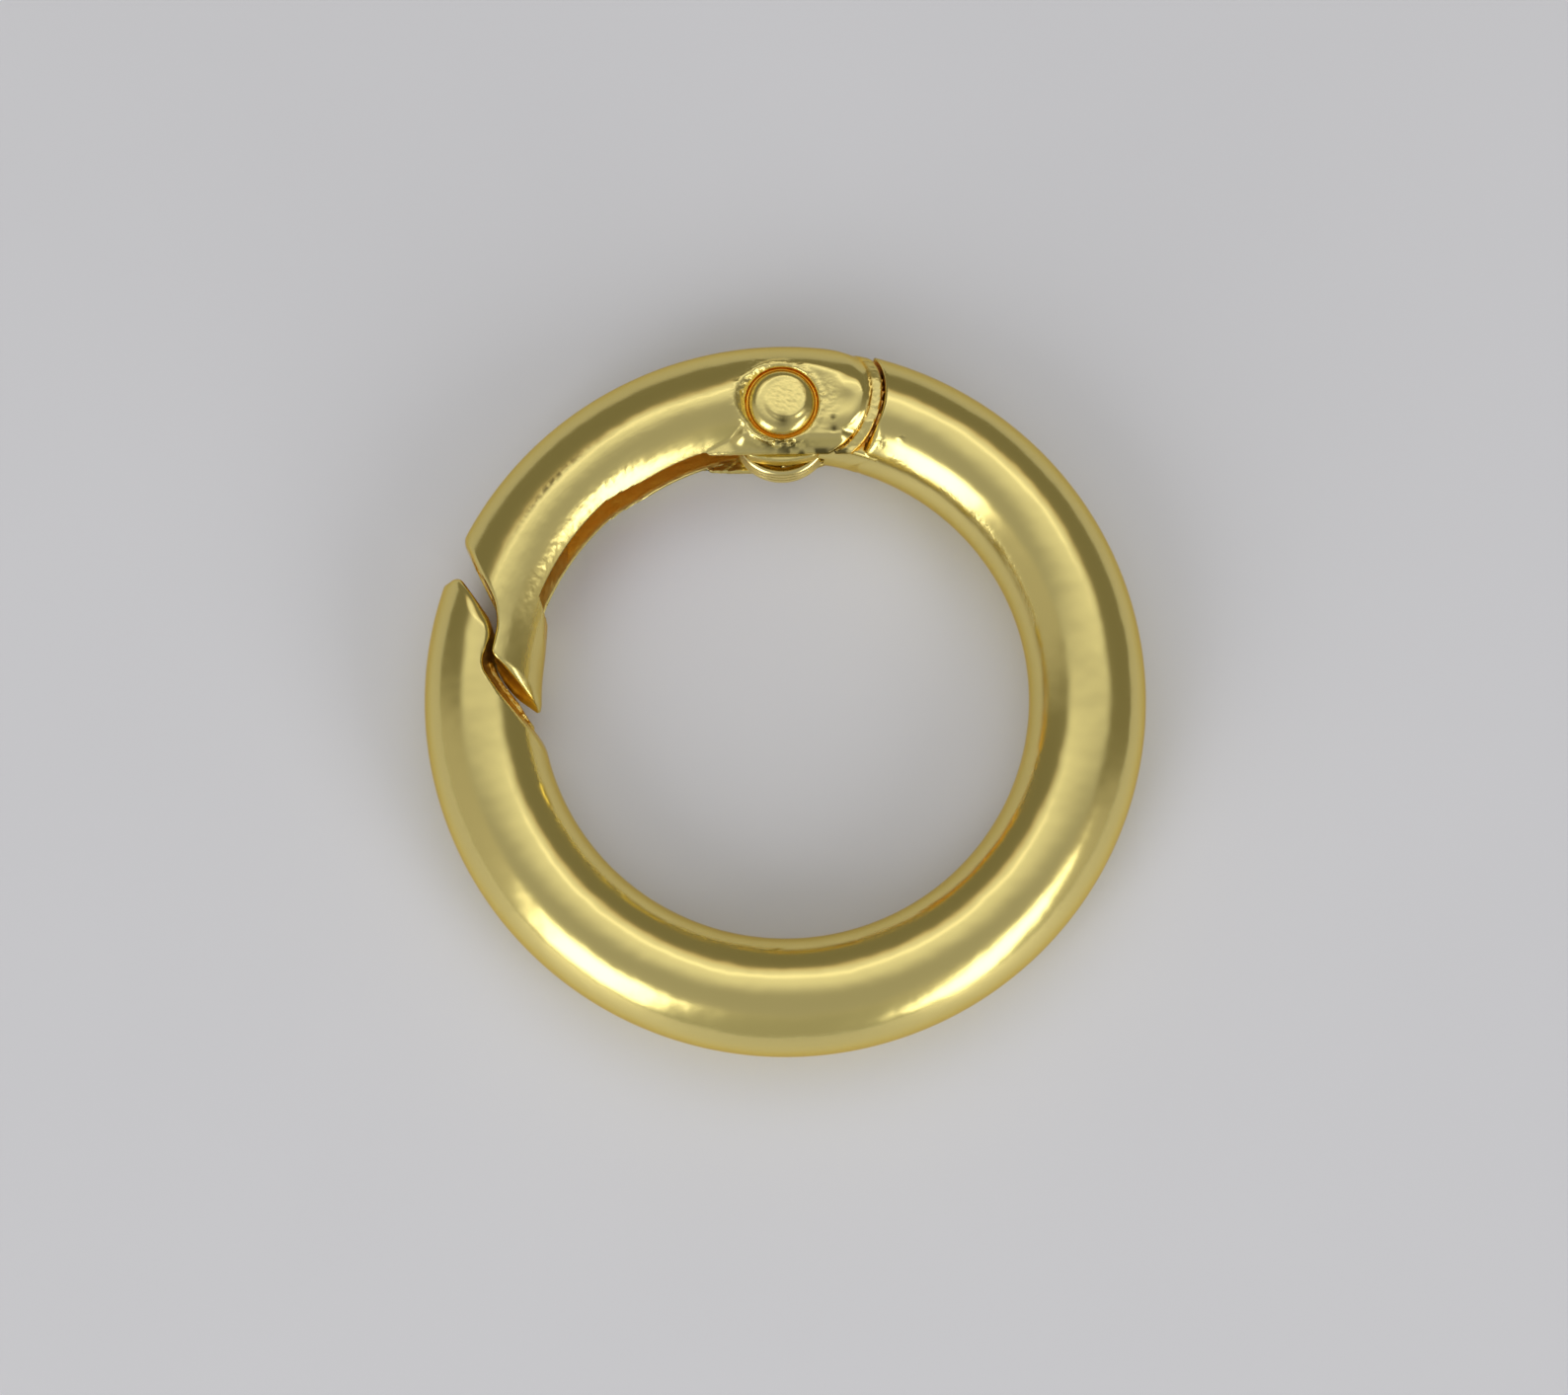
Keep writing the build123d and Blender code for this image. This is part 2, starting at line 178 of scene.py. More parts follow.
# finishes
GOLD = (0.86, 0.72, 0.27, 1)
WIRE_GOLD = (0.88, 0.74, 0.32, 1)
# painted shade: warmer, darker gold laid into cracks, the channel, seams and under the rivet's heads
CRACK_SHADE_GOLD = (0.95, 0.57, 0.07, 1)
GRAZING_GOLD = (0.95, 0.78, 0.42, 1)
# dark colour for real stains, also laid as painted shade in hollows, creases and pits
TARNISH_AND_SHADE = (0.17, 0.135, 0.045, 1)
POLISH = 0.15
STREAK_RADIUS = 0.0035  # metres; less than the ring's own, which draws the streaks out
PAPER_DARK, PAPER_PALE = (0.765, 0.77, 0.822, 1), (0.793, 0.798, 0.852, 1)

# room and camera; distances in metres, the table's in millimetres
SIDE_WALL = (0.47, 0.455, 0.42, 1)
BACK_WALL = (0.208, 0.196, 0.148, 1)
FRONT_WALL = (0.37, 0.37, 0.34, 1)
CEILING_GLOW = (0.62, 0.45, 0.22, 1)
CEILING_EDGE = 0.75  # height of the direction in which the ceiling starts
STRIP_IN, STRIP_OUT = (0.79, 0.835), (0.885, 0.845)  # where the bright strip fades in and out
LAMP_EDGE, LAMP_MIDDLE = 0.5, 0.22  # shares of the panel, from its middle
LAMP_DISTANCE = 0.6
LAMP_RADIANCE = 3.2
TABLE_HALF_SIDE = 900.0
CAMERA_DISTANCE = 0.1645
CAMERA_TILT = math.radians(10.91)
CAMERA_LENS, SENSOR_WIDTH = 92, 36
CAMERA_SHIFT = (-0.00082, -0.00038)


# ---------------------------------------------------------------- distances
def cut_round(a, b, radius):
    """Common part of two solids; the edge where they meet is an arc of the given radius."""
    corner = np.hypot(np.maximum(a + radius, 0), np.maximum(b + radius, 0))
    return np.minimum(np.maximum(a, b), -radius) + corner


def join_round(a, b, radius):
    """Two solids together; the inside corner where they meet is filled with an arc."""
    return -cut_round(-a, -b, radius)


def ramp(value, low, high):
    """Smooth rise from 0 below low to 1 above high: 3t^2 - 2t^3."""
    t = np.clip((value - low) / (high - low), 0, 1)
    return t * t * (3 - 2 * t)


def bell(value, width):
    """Bump of height 1 at zero that dies away over the width: exp(-(value/width)^2)."""
    return np.exp(-((value / width) ** 2))


def grain(x, y, z, size, seed):
    """Uneven cast grain, about -1 to 1: sum of sines along random directions, of random pitch."""
    random = np.random.default_rng(seed)
    total = 0
    for _ in range(12):
        way = random.normal(size=3)
        way *= 2 * math.pi / (size * random.uniform(0.6, 1.7) * np.linalg.norm(way))
        total = total + np.sin(x * way[0] + y * way[1] + z * way[2] + random.uniform(0, 6.3))
    return total * 0.27


def hinge_frame(x, y):
    """Place in the hinge's frame: x towards the body along the ring, y outwards, zero at the rivet."""
    cosine, sine = math.cos(HINGE_ANGLE), math.sin(HINGE_ANGLE)
    return x * sine - y * cosine, x * cosine + y * sine - PIVOT_RADIUS


def mouth_frame(x, y):
    """Place in the mouth's frame: depth from the bar's centreline to the eye, then distance along."""
    cosine, sine = math.cos(MOUTH_ANGLE), math.sin(MOUTH_ANGLE)
    return RING_RADIUS - (x * cosine + y * sine), y * cosine - x * sine


def beside(depth, along, start, end):
    """Distance from a straight line in the mouth's frame, positive to the left of start to end."""
    run, rise = end[0] - start[0], end[1] - start[1]
    return (run * (along - start[1]) - rise * (depth - start[0])) / np.hypot(run, rise)


def bar(x, y, z):
    """Round bar bent to the ring: distance from its centreline less its radius."""
    return np.hypot(np.hypot(x, y) - RING_RADIUS, z) - BAR_RADIUS


def round_spot(hx, hy, centre, width):
    """Bell round a centre in the hinge's frame."""
    return bell(np.hypot(hx - centre[0], hy - centre[1]), width)


def gate_mouth(x, y, z):
    """Edge of the gate at the mouth: flank, step behind the tip, then the nose drafted both ways.

    Each stretch is the distance from a straight line; join_round and cut_round turn the corners.
    """
    depth, along = mouth_frame(x, y)
    shoulder = (NOSE_SHOULDER[0], NOSE_SHOULDER[1] - NOSE_DRAFT * np.abs(z))
    tip = (shoulder[0] + NOSE_RUN, shoulder[1] + NOSE_SLOPE * NOSE_RUN)
    flank = beside(depth, along, FLANK_FAR, FLANK_FOOT)
    step = beside(depth, along, FLANK_FOOT, STEP_TOP)
    nose = beside(depth, along, STEP_TOP, shoulder)
    point = beside(depth, along, shoulder, tip)
    return join_round(flank, cut_round(cut_round(step, nose, 0.3), point, 0.3), 0.5)


def body_mouth(x, y, z):
    """Edge of the body at the mouth: hooked tip, hollow behind it, and the seat below the nose.

    The lines are joined as on the gate. The seat is drafted: its points shift along by the height.
    """
    depth, along = mouth_frame(x, y)
    drawn = SEAT_DRAFT * np.abs(z)
    pit, knee, heel, far = ((across, rise + drawn) for across, rise in SEAT)
    back = -beside(depth, along, TIP_BACK, TIP_POINT)
    flank = -beside(depth, along, TIP_POINT, TIP_HOOK)
    hollow = -beside(depth, along, TIP_HOOK, pit)
    seat = join_round(-beside(depth, along, pit, knee), -beside(depth, along, knee, heel), 0.5)
    tip = cut_round(cut_round(back, flank, 0.35), hollow, 0.45)
    return join_round(tip, cut_round(seat, -beside(depth, along, heel, far), 0.5), 0.3)


def tail_distance(hx, hy):
    """Distance from the arc of the gate's round tail."""
    return np.hypot(hx - TAIL_CENTRE[0], hy - TAIL_CENTRE[1]) - TAIL_RADIUS


def ground_height(hx, hy):
    """Height round the rivet: a chamfer on one side, on the other a level face that rises to a pad."""
    round_pivot = np.hypot(hx, hy)
    face = FACE_SLOPE * np.maximum(round_pivot - FACE_RADIUS, 0)
    face = face + PAD_HEIGHT * round_spot(hx, hy, PAD, 0.42)
    chamfer = CHAMFER_SLOPE * np.maximum(round_pivot - RECESS_RADIUS, 0)
    return FACE_HEIGHT + chamfer + (face - chamfer) * ramp(hx, -0.9, 0.6)


def rim_height(hy):
    """Height of the rim at the tail's end: level, then falling to the shelf towards the eye."""
    return SHELF_HALF_HEIGHT + 0.35 * (1 - np.clip((-hy - 0.9) / 0.9, 0, 1))


def rim_share(hx, hy):
    """Share of the rim at a place, 0 to 1: a ramp across its inner edge."""
    return ramp(tail_distance(hx, hy), -0.5, -0.36) * (hx > TAIL_SIDE)


def shelf_height(hx, hy):
    """Height of the cheeks' inner edge: rises to the face beside the rivet, melts into the bar behind."""
    level = SHELF_HALF_HEIGHT - 0.35 * ramp(-hx, 1.8, SHELF_LENGTH)
    return level + 0.33 * ramp(hy, -2.05, -1.3) * ramp(-np.abs(hx - 0.4), -2.7, -1.9)


def recess_burr(hx, hy, width):
    """Burr round the rivet's recess: a bell over its edge, less at one side, and a wide low one left."""
    round_pivot = np.hypot(hx, hy)
    burr = bell(round_pivot - BURR_RADIUS, width) * (0.5 + 0.5 * ramp(hy + 0.6 * hx, -1.2, -0.2))
    return burr + 0.6 * bell(round_pivot - BURR_REACH, 0.25) * ramp(-hx, 0.5, 1.2)


def cast_patch(hx, hy):
    """Patch on the face that was left as cast: a bell across times a longer bell outwards."""
    return bell(hx - PATCH[0], 0.35) * bell(hy - PATCH[1], 0.8)


def burnt_spots(hx, hy):
    """Spots of rough metal on the body, just past the seam: a bell each."""
    return sum(round_spot(hx, hy, centre, width) for centre, width in BURNT_SPOTS)


def gate_scratches(x, y):
    """Share of scuffed surface, 0 to 1: beside the channel's lip and at the end of the flank."""
    depth, along = mouth_frame(x, y)
    angle = np.degrees(np.arctan2(y, x)) % 360
    lip = bell(np.hypot(x, y) - 11.1, 0.28) * ramp(angle, 118, 130) * ramp(-angle, -168, -158)
    return np.maximum(lip, bell(depth - 0.2, 0.2) * bell(along + 1.9, 0.6))


def gate_grit(x, y, z, rough):
    """Depth of the cast grain: grain times the shares of burr, patch, rim and scuffs."""
    hx, hy = hinge_frame(x, y)
    share = 0.014 * recess_burr(hx, hy, 0.13) + 0.008 * cast_patch(hx, hy) + 0.008 * rim_share(hx, hy)
    return rough * (np.abs(z) > 1.5) * (share + 0.0015 * gate_scratches(x, y))


def gate_plan(x, y, z):
    """Gate seen from above: its round tail, and the ring from there to the mouth."""
    radius, angle = np.hypot(x, y), np.arctan2(y, x) % (2 * math.pi)
    stretch = np.maximum((TAIL_ANGLE - angle) * radius, gate_mouth(x, y, z))
    return np.minimum(tail_distance(*hinge_frame(x, y)), stretch)


def gate_blank(x, y, z, grit):
    """Gate's bar: worn on top, cut to the face round the rivet, rolled off to the groove and the rim.

    The bevel along the nose is the bar's distance plus a share, its slope, of the mouth's distance,
    brought back to a true distance; it fades out towards the flank.
    """
    hx, hy = hinge_frame(x, y)
    along = mouth_frame(x, y)[1]
    high, tail, outwards = np.abs(z), tail_distance(hx, hy), np.hypot(x, y) - RING_RADIUS
    worn = 0.1 * ramp(outwards, -0.3, 1.3) * ramp(high, 0.5, 2.0) * ramp(-hx, 1.5, 3.0)
    metal = cut_round(bar(x, y, z) + worn, high - ground_height(hx, hy), 0.1) + grit
    on_rim = rim_share(hx, hy)
    groove = (GROOVE_DEPTH - 0.13 * ramp(hy, 0.5, 1.3)) * ramp(tail, -1.15, -0.46) ** 2
    metal = metal + (groove * (1 - on_rim) + 0.08 * on_rim) * (hx > TAIL_SIDE)
    over_rim = np.minimum(high - rim_height(hy), tail + RIM_WIDTH) + (hx < TAIL_SIDE) * -FAR
    metal = cut_round(metal, over_rim, 0.05)
    offset = BEVEL_START - BEVEL_FADE * ramp(-along, -1.3, -0.2)
    bevel = 0.92 * (bar(x, y, z) + BEVEL_SLOPE * gate_mouth(x, y, z) + offset)
    return cut_round(metal, bevel, 0.08)


def with_cheeks(metal, x, y, z, grit):
    """Metal joined with the cheeks' straight shelf, the rim's block and the boss round the rivet."""
    hx, hy = hinge_frame(x, y)
    high, tail = np.abs(z), tail_distance(hx, hy)
    strip = np.maximum(-hy - SHELF_REACH, hy)
    end = tail + np.where(z > 0, UPPER_CHEEK_INSET, LOWER_CHEEK_INSET)
    shelf = np.maximum(strip, np.maximum(-hx - SHELF_LENGTH, np.minimum(end, hx)))
    metal = join_round(metal, cut_round(shelf, high - shelf_height(hx, hy), 0.08), 0.08)
    rim = np.maximum(strip, np.maximum(tail, -RIM_THICKNESS - tail))
    rim = cut_round(rim, high - rim_height(hy) + grit, 0.05)
    metal = np.minimum(metal, np.where((hx < TAIL_SIDE) | (z < 0), FAR, rim))
    ledge = -hy - BOSS_LEDGE + 0.4 * np.maximum(hx - 2.2, 0)
    block = np.maximum(ledge, hy - BOSS_SIDE)
    block = np.maximum(block, np.maximum(-hx, tail + LOWER_CHEEK_INSET))
    boss = np.minimum(np.hypot(hx, hy) - BOSS_RADIUS, block)
    boss = cut_round(boss, high - ground_height(hx, hy) + BOSS_DROP, 0.12)
    return join_round(metal, boss + 0.5 * grit, 0.12)


def gate_hollow(x, y, z, rough):
    """Channel for the lug and the spring, joined with a wider room between its lips, less a torn edge."""
    radius, angle = np.hypot(x, y), np.arctan2(y, x) % (2 * math.pi)
    high = np.abs(z)
    end = (angle - CHANNEL_END) * radius
    channel = cut_round(cut_round(high - CHANNEL_HALF_WIDTH, radius - ROOF_RADIUS, 0.25), end, 0.25)
    opened = CHANNEL_HALF_WIDTH + LIP_CUT * ramp(angle, LIP_START, LIP_FULL)
    lips = cut_round(np.maximum(high - opened, radius - LIP_RADIUS), (angle - LIP_END) * radius, 0.4)
    torn = 0.012 * rough * ramp(-radius, -10.8, -10.5)
    return join_round(channel, lips, 0.1) - torn


def gate_metal(x, y, z):
    """Gate: bar cut to its plan, with its cheeks, less pits, dent, the nose's flat, channel and holes."""
    hx, hy = hinge_frame(x, y)
    depth, along = mouth_frame(x, y)
    high, round_pivot = np.abs(z), np.hypot(hx, hy)
    rough = grain(x, y, z, size=0.27, seed=3)
    grit = gate_grit(x, y, z, rough)
    edge = np.where(hx > -4, 0.09, 0.22 - 0.1 * ramp(along, 0.2, 0.8))
    metal = cut_round(gate_blank(x, y, z, grit), gate_plan(x, y, z), edge)
    metal = with_cheeks(metal, x, y, z, grit)
    pits = 0.05 * round_spot(hx, hy, PITS[0], 0.13) + 0.035 * round_spot(hx, hy, PITS[1], 0.11)
    off_dent = np.hypot(0.35 * (hx - DENT[0]), hy - DENT[1])
    dent = np.hypot(off_dent, high - DENT_HEIGHT) - DENT_RADIUS
    metal = cut_round(metal + pits * (high > 1.5), 0.04 * rough - dent, 0.05)
    flat = np.minimum(-beside(depth, along, *NOSE_FLAT), along - NOSE_FLAT[0][1])
    metal = cut_round(metal, flat, 0.1)
    metal = cut_round(metal, -gate_hollow(x, y, z, rough), 0.07)
    recess = cut_round(round_pivot - RECESS_RADIUS + 0.06, RECESS_FLOOR - high, 0.05)
    return np.maximum(cut_round(metal, -recess, 0.12), SHANK_RADIUS + PLAY_IN_GATE - round_pivot)


def body_bar(x, y, z):
    """Body's bar, from the hollow shoulder round to the mouth, with a web of flash by the gate's nose.

    The angle is counted so that its jump falls in the gate: the body runs from the tail's angle down.
    """
    jump = math.radians(130)
    angle = (np.arctan2(y, x) - jump) % (2 * math.pi) + jump - 2 * math.pi
    hx, hy = hinge_frame(x, y)
    depth, along = mouth_frame(x, y)
    at_mouth = angle < math.radians(-150)
    shoulder = np.maximum(SEAM_GAP - tail_distance(hx, hy), (angle - TAIL_ANGLE) * np.hypot(x, y))
    plan = np.where(at_mouth, body_mouth(x, y, z), shoulder)
    rough = grain(x, y, z, size=0.3, seed=5)
    tip_edge = 0.3 + 0.25 * bell(along + 0.8, 0.7) - 0.14 * ramp(along, -0.3, 0.6)
    edge = np.where(at_mouth, tip_edge, 0.13 + 0.3 * ramp(-hy, 0.8, 1.8))
    metal = cut_round(bar(x, y, z) - 0.008 * rough * burnt_spots(hx, hy), plan, edge)
    width = WEB_WIDTH - WEB_NARROWING * ramp(depth, 1.5, 2.4)
    web = np.maximum(0.05 - gate_mouth(x, y, 0 * z), plan - width)
    web = np.maximum(web, np.maximum(WEB_START - along, depth - WEB_DEPTH))
    web = np.maximum(web, bar(x, y, z) + WEB_INSET)
    web = np.maximum(web, np.abs(z) - WEB_HALF_HEIGHT - 0.04 * rough)
    return np.where(at_mouth, join_round(metal, web, 0.06), metal)


def body_lug(x, y, z):
    """Lug and neck in the gate's channel: round eye on a swelling heel, less coil's room and hole."""
    hx, hy = hinge_frame(x, y)
    swell = np.hypot(hx, hy - (BELLY_RADIUS - BELLY_REACH)) - BELLY_RADIUS
    heel = cut_round(np.maximum(swell, hy), np.abs(hx) - HEEL_LENGTH, 0.5)
    eye = np.minimum(np.hypot(hx, hy) - LUG_EYE_RADIUS, heel)
    neck = np.maximum(np.abs(hy) - BELLY_REACH, np.maximum(-hx, hx - NECK_END))
    neck = np.maximum(np.maximum(neck, np.hypot(x, y) - NECK_RADIUS), bar(x, y, z))
    tongue = cut_round(np.minimum(eye, neck), np.maximum(LUG_LOW - z, z - LUG_HIGH), 0.08)
    full_neck = cut_round(np.maximum(neck, NECK_START - hx), np.abs(z) - LUG_HIGH, 0.08)
    lug = join_round(tongue, full_neck, 0.05)
    coil_room = cut_round(np.hypot(hx, hy + COIL_INSET) - COIL_ROOM, z - LUG_LOW, 0.05)
    return np.maximum(cut_round(lug, -coil_room, 0.08), SHANK_RADIUS + PLAY_IN_LUG - np.hypot(hx, hy))


def body_metal(x, y, z):
    """Body: bar and lug together, less a round slot along the spring's leg."""
    hx, hy = hinge_frame(x, y)
    off_leg = (hx - SLOT_POINT[0]) * SLOT_SLANT[0] + (hy - SLOT_POINT[1]) * SLOT_SLANT[1]
    slot = np.hypot(off_leg, z - SLOT_HEIGHT) - SLOT_RADIUS
    slot = np.maximum(slot, np.maximum(SLOT_START - hx, hx - SLOT_END))
    return np.maximum(np.minimum(body_bar(x, y, z), body_lug(x, y, z)), -slot)


# ---------------------------------------------------------------- surfaces from distances
def surface_net(field):
    """Closed quad surface where a lattice of distances changes sign.

    Each lattice cell that the surface passes through gets one vertex, the mean of the points where
    its edges cross zero. Each lattice edge that crosses zero gets one quad, between the four cells
    round it, turned so that it faces from the metal outwards; the axes angle, radius and height are
    left-handed. Vertices come in lattice units.
    """
    inside = field < 0
    cells = tuple(n - 1 for n in field.shape)
    spots, owners, quads = [], [], []
    for axis in range(3):
        low = tuple(slice(0, -1) if a == axis else slice(None) for a in range(3))
        high = tuple(slice(1, None) if a == axis else slice(None) for a in range(3))
        crossing = np.argwhere(inside[low] != inside[high])
        near = field[low][tuple(crossing.T)]
        far = field[high][tuple(crossing.T)]
        spot = crossing.astype(float)
        spot[:, axis] += near / (near - far)
        across, up = (axis + 1) % 3, (axis + 2) % 3
        ring = []
        for back_across, back_up in ((0, 0), (1, 0), (1, 1), (0, 1)):
            cell = crossing.copy()
            cell[:, across] -= back_across
            cell[:, up] -= back_up
            owner = np.ravel_multi_index(tuple(cell.T), cells)
            spots.append(spot)
            owners.append(owner)
            ring.append(owner)
        ring = np.stack(ring, axis=1)
        turned = near < 0
        ring[turned] = ring[turned][:, ::-1]
        quads.append(ring)
    spots, owners, quads = np.concatenate(spots), np.concatenate(owners), np.concatenate(quads)
    used, place = np.unique(owners, return_inverse=True)
    count = np.bincount(place)
    verts = np.stack([np.bincount(place, weights=spots[:, a]) / count for a in range(3)], axis=1)
    return verts, np.searchsorted(used, quads)


def gradient(metal, points, step):
    """Slope of a distance by central differences, one row for each point."""
    slope = np.empty_like(points)
    for axis in range(3):
        move = np.zeros(3)
        move[axis] = step
        ahead, behind = points + move, points - move
        slope[:, axis] = (metal(*ahead.T) - metal(*behind.T)) / (2 * step)
    return slope


def casting(name, metal, angles, radii, heights):
    """Mesh of a casting: surface net on a lattice of angle, radius and height, drawn onto its surface.

    Each vertex is moved along the distance's slope by distance / slope^2, a few times, and its
    normal is that slope's direction.
    """
    angle, radius, height = np.meshgrid(angles, radii, heights, indexing="ij", sparse=True)
    verts, quads = surface_net(metal(radius * np.cos(angle), radius * np.sin(angle), height))
    angle, radius, height = (
        np.interp(verts[:, a], np.arange(len(axis)), axis)
        for a, axis in enumerate((angles, radii, heights))
    )
    points = np.stack([radius * np.cos(angle), radius * np.sin(angle), height], axis=1)
    for _ in range(3):
        slope = gradient(metal, points, 0.01)
        shift = metal(*points.T) / np.maximum((slope**2).sum(axis=1), 0.2)
        points -= np.clip(shift, -0.05, 0.05)[:, None] * slope
    normals = gradient(metal, points, 0.02)
    normals /= np.maximum(np.linalg.norm(normals, axis=1, keepdims=True), 1e-9)
    return smooth_mesh(name, points, quads, normals), points


def smooth_mesh(name, points, quads, normals=None):
    """Object from points in millimetres and quads, smooth shaded, with its own normals if given."""
    mesh = bpy.data.meshes.new(name)
    mesh.vertices.add(len(points))
    mesh.vertices.foreach_set("co", (points * MM).ravel())
    mesh.loops.add(quads.size)
    mesh.loops.foreach_set("vertex_index", quads.ravel())
    mesh.polygons.add(len(quads))
    mesh.polygons.foreach_set("loop_start", np.arange(0, quads.size, 4))
    mesh.polygons.foreach_set("loop_total", np.full(len(quads), 4))
    mesh.update(calc_edges=True)
    mesh.validate()
    mesh.shade_smooth()
    if normals is not None:
        mesh.normals_split_custom_set_from_vertices(normals)
    obj = bpy.data.objects.new(name, mesh)
    bpy.context.scene.collection.objects.link(obj)
    return obj


def paint(obj, **layers):
    """Store one number per vertex, kept within 0 to 1, in each named layer for the plating to read.

    The layers are cast (matt and grainy), the crack layer (painted shade: warmer, darker gold in cracks
    and recesses), the dark layer (real stains, and painted shade in hollows, creases and pits) and
    brushed.
    """
    count = len(obj.data.vertices)
    for name, values in layers.items():
        layer = obj.data.attributes.new(name, "FLOAT", "POINT")
        layer.data.foreach_set("value", np.clip(np.broadcast_to(values, count), 0, 1).astype(np.float32))


def lattice(low, high, spacing):
    """Even steps from low to high, as near to the spacing as fits."""
    return np.linspace(low, high, int(round((high - low) / spacing)) + 1)


# ---------------------------------------------------------------- pieces
def make_gate():
    """Gate's casting, from its distance on a lattice that reaches a little past it."""
    angles = lattice(*GATE_SPAN, GATE_CELL / RING_RADIUS)
    across, up = lattice(*RING_SPAN, GATE_CELL), lattice(*HEIGHT_SPAN, GATE_CELL)
    obj, points = casting("gate_casting", gate_metal, angles, across, up)
    paint_gate(obj, points)
    return obj


def paint_gate(obj, points):
    """Gate's finish: a mark is a product of bells and ramps at its place, a layer the sum of its marks."""
    x, y, z = points.T
    hx, hy = hinge_frame(x, y)
    high, radius, tail, inside = np.abs(z), np.hypot(x, y), tail_distance(hx, hy), -bar(x, y, z)
    on_face, on_tail = high > 1.5, hx > TAIL_SIDE

    # left as cast: round the recess, below the boss, rim, channel, its lips and the scuffs
    beside_recess = np.maximum(recess_burr(hx, hy, 0.12), cast_patch(hx, hy)) * (high > 1.8)
    below_boss = bell(hx - 0.05, 0.85) * bell(hy + 1.74, 0.17) * on_face
    rim = ramp(tail, -0.5, -0.42) * on_tail * (high > 1.4)
    channel = ramp(inside, 0.08, 0.2) * (radius < 14.2) * (high < 1.75) * np.where(hx < -9, 0.45, 1)
    lips = bell(high - 1.5, 0.15) * (radius < 10.9) * (inside < 0.2)
    scuffs = gate_scratches(x, y) * (high > 1) * ramp(grain(x, y, z, size=0.5, seed=21), -0.2, 0.7)
    cast = beside_recess + below_boss + rim + 0.6 * channel + 0.7 * lips + 0.35 * scuffs

    # painted shade, as warmer and darker gold: the groove's floor, the seam and the well round the rivet's
    # head
    valley = bell(tail + 0.47, 0.07) * on_tail * (high > 1.0)
    seam = ramp(tail, -0.06, 0.0) * on_tail
    well = ramp(-np.hypot(hx, hy), -1.58, -1.52) * ramp(-high, -2.05, -1.9)

    # painted shade, dark and grainy: in the hollow below the boss, along the shelf's crease and in the two
    # pits; and one dark stroke on the flank
    crease = bell(hy + 2.02, 0.13) * ramp(hx, -1.0, 1.2) * ramp(-hx, -3.0, -2.7)
    crease = crease * ramp(grain(x, y, z, size=0.6, seed=4), -0.7, 0.1)
    pits = round_spot(hx - 0.02, hy, PITS[0], 0.12) + round_spot(hx, hy, PITS[1], 0.1)
    specks = ramp(grain(x, y, z, size=0.25, seed=8), -0.6, 0.4)
    turn = np.degrees(np.arctan2(y, x)) % 360
    section = np.degrees(np.arctan2(z, radius - RING_RADIUS))
    stroke = bell(section - STROKE_SECTION - 0.1 * (turn - 131), 2.6) * bell(turn - STROKE_TURN, 8)
    stroke = stroke * (inside < 0.2) * specks
    stain = (1.5 * below_boss * specks + 1.5 * crease + 1.3 * pits) * on_face + 0.9 * stroke

    brushed = ramp(-hx, 1.8, 3.5) * ramp(RING_RADIUS + 0.6 - radius, -0.2, 0.6)
    # the crack layer is painted shade on the channel's inside, the groove, the seam and the well
    paint(obj, cast=cast, deep=channel + 0.7 * valley + seam + well, stain=stain, brushed=brushed)


def make_body():
    """Body's casting, on a lattice that is fine at the mouth and the hinge and wide where it is plain."""
    step = BODY_CELL / RING_RADIUS
    plain = lattice(MOUTH_SPAN[1], HINGE_SPAN[0], PLAIN_STEP)
    angles = np.concatenate([lattice(*MOUTH_SPAN, step), plain, lattice(*HINGE_SPAN, step)])
    angles = np.unique(angles.round(9))
    across, up = lattice(*RING_SPAN, BODY_CELL), lattice(*HEIGHT_SPAN, BODY_CELL)
    obj, points = casting("ring_casting", body_metal, angles, across, up)
    paint_body(obj, points)
    return obj


def paint_body(obj, points):
    """Body's finish, made alike: mouth, spots, seam, inner parting line and the brushed front."""
    x, y, z = points.T
    hx, hy = hinge_frame(x, y)
    tail, inside, outwards = tail_distance(hx, hy), -bar(x, y, z), np.hypot(x, y) - RING_RADIUS
    mouth = ramp(inside, 0.1, 0.3) * (x < -5)
    around = np.degrees(np.arctan2(np.abs(z), outwards))
    parting = bell(around - PARTING_SECTION, 4) * ramp(grain(x, y, z, size=2.2, seed=9), -0.6, 0.2)
    seam = ramp(-tail, -0.2, -0.12) * ramp(inside, 0.05, 0.3)
    in_channel = ramp(-tail, -0.1, 0.05) * (hx > -3)
    spots = burnt_spots(hx, hy)
    turn = np.degrees(np.arctan2(y, x))
    paint(
        obj,
        cast=mouth + 0.8 * spots + 0.4 * seam + parting,
        # painted shade: warmer, darker gold on the mouth's cut faces and along the seam
        deep=0.35 * mouth + seam * (1 - in_channel),
        brushed=0.6 * bell(turn - BRUSHED_TURN, 55) * ramp(outwards, 0.2, 1.2),
        stain=0.5 * spots * ramp(grain(x, y, z, size=0.25, seed=8), -0.2, 0.4),
    )


def turned(name, profile, centre, count, shape):
    """Surface of revolution: each profile point (radius, height) carried round the centre's axis.

    The shape adds to the height. The first and last profile points lie on the axis, so close_ends
    makes one vertex of each of their rings.
    """
    turn = np.linspace(0, 2 * math.pi, count, endpoint=False)
    radius, height = profile[:, :1], profile[:, 1:]
    x, y = radius * np.cos(turn), radius * np.sin(turn)
    z = np.broadcast_to(height, x.shape)
    points = np.stack([x + centre[0], y + centre[1], z + shape(x, y, z)], axis=-1).reshape(-1, 3)
    obj = smooth_mesh(name, points, ring_quads(len(profile), count))
    close_ends(obj)
    return obj


